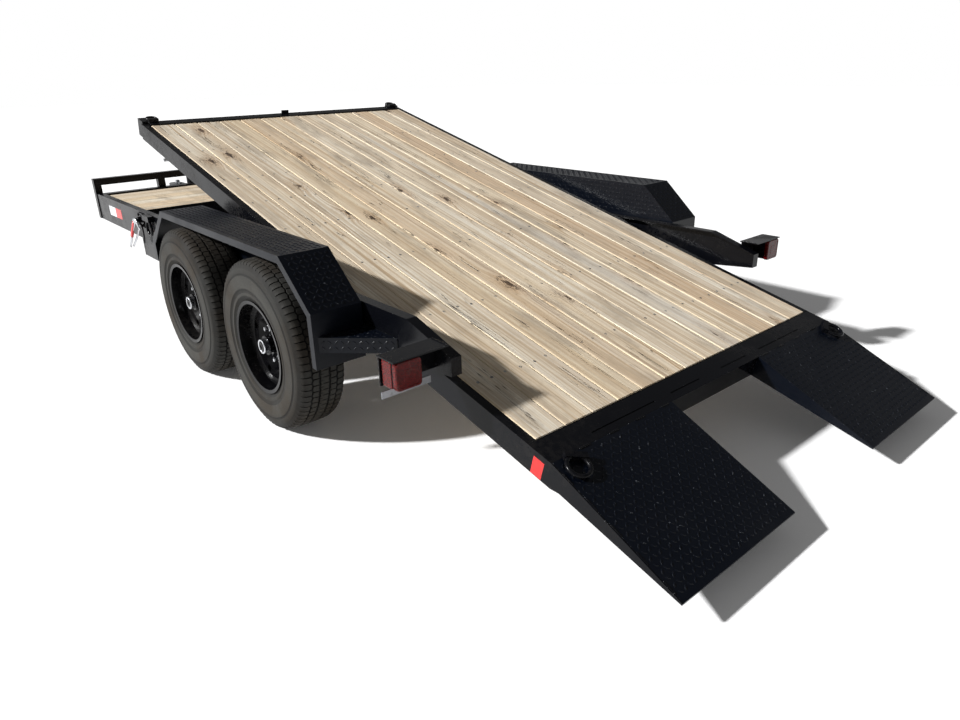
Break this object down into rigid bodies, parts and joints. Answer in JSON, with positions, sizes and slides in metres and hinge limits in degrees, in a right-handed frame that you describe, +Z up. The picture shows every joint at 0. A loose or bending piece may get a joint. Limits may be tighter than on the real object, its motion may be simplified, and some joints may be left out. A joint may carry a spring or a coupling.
{
  "type": "tilt car trailer",
  "caption": "Tandem-axle car trailer with a short fixed front deck and a long plank deck that tilts down to fixed tail plates; A-frame tongue, drop jack and fenders.",
  "frame": {"origin": "on the ground under the centre of the bounding box, parked with its deck tilted", "axes": "+X forward to the coupler, +Y to the trailer's left side, +Z up"},
  "size_m": [6.7134, 2.59, 1.271],
  "materials": {
    "black_paint": "gloss black enamel",
    "bright_steel": "bright plated steel",
    "tread_plate": "black painted tread plate",
    "wood": "weathered softwood planks",
    "red_lens": "moulded red lens",
    "grey_steel": "grey painted steel",
    "tyre": "dusty black rubber",
    "gloss_black": "gloss black enamel"
  },
  "bodies": {
    "chassis": {"axle_front": "black_paint", "axle_rear": "black_paint", "coupler": "black_paint", "coupler_latch": "bright_steel", "cross_members": "black_paint", "deck_latch": "bright_steel", "fender_left": "tread_plate", "fender_right": "tread_plate", "front_boards": "wood", "front_frame": "black_paint", "hangers": "black_paint", "headboard": "black_paint", "jack_crank": "bright_steel", "jack_tube": "black_paint", "lamp_brackets": "black_paint", "lamps": "red_lens", "lower_rails": "black_paint", "pivot_shaft": "black_paint", "plate_bracket": "grey_steel", "rail_left": "black_paint", "rail_right": "black_paint", "rail_rings": "black_paint", "springs": "black_paint", "steps": "tread_plate", "tongue": "black_paint"},
    "tilt_deck": {"tilt_rail_left": "black_paint", "tilt_rail_right": "black_paint", "tilt_cross": "black_paint", "pivot_ears": "black_paint", "tilt_boards": "wood", "tail_band": "black_paint", "tail_plate_left": "tread_plate", "tail_plate_right": "tread_plate", "deck_rings": "black_paint"},
    "cylinder_barrel": {"cylinder_barrel": "black_paint"},
    "cylinder_rod": {"cylinder_rod": "bright_steel"},
    "jack_leg": {"jack_leg": "black_paint"},
    "wheel_front_left": {"tyre_front_left": "tyre", "wheel_front_left": "gloss_black"},
    "wheel_front_right": {"tyre_front_right": "tyre", "wheel_front_right": "gloss_black"},
    "wheel_rear_left": {"tyre_rear_left": "tyre", "wheel_rear_left": "gloss_black"},
    "wheel_rear_right": {"tyre_rear_right": "tyre", "wheel_rear_right": "gloss_black"}
  },
  "joints": [
    {"name": "deck_tilt", "type": "hinge", "parent": "chassis", "child": "tilt_deck", "pos_m": [-1.51232, 0, 0.502], "axis": [0, 1, 0], "range_deg": [0, 14.2]},
    {"name": "cylinder_swing", "type": "hinge", "parent": "chassis", "child": "cylinder_barrel", "pos_m": [0.47668, 0, 0.522], "axis": [0, 1, 0], "range_deg": [-22.82, 0]},
    {"name": "rod_slide", "type": "slide", "parent": "cylinder_barrel", "child": "cylinder_rod", "axis": [-0.9183, 0, 0.3958], "range_m": [-0.11205, 0]},
    {"name": "jack_drop", "type": "slide", "parent": "chassis", "child": "jack_leg", "axis": [0, 0, 1], "range_m": [0, 0.3]},
    {"name": "wheel_front_left_spin", "type": "hinge", "parent": "chassis", "child": "wheel_front_left", "pos_m": [-0.46132, 1.1775, 0.391], "axis": [0, 1, 0], "continuous": true},
    {"name": "wheel_front_right_spin", "type": "hinge", "parent": "chassis", "child": "wheel_front_right", "pos_m": [-0.46132, -1.1775, 0.391], "axis": [0, 1, 0], "continuous": true},
    {"name": "wheel_rear_left_spin", "type": "hinge", "parent": "chassis", "child": "wheel_rear_left", "pos_m": [-1.34032, 1.1775, 0.391], "axis": [0, 1, 0], "continuous": true},
    {"name": "wheel_rear_right_spin", "type": "hinge", "parent": "chassis", "child": "wheel_rear_right", "pos_m": [-1.34032, -1.1775, 0.391], "axis": [0, 1, 0], "continuous": true}
  ],
  "couplings": [
    {"joint": "cylinder_swing", "follows": "deck_tilt", "ratio": -1.6073},
    {"joint": "rod_slide", "follows": "deck_tilt", "m_per_rad": -0.45211}
  ]
}
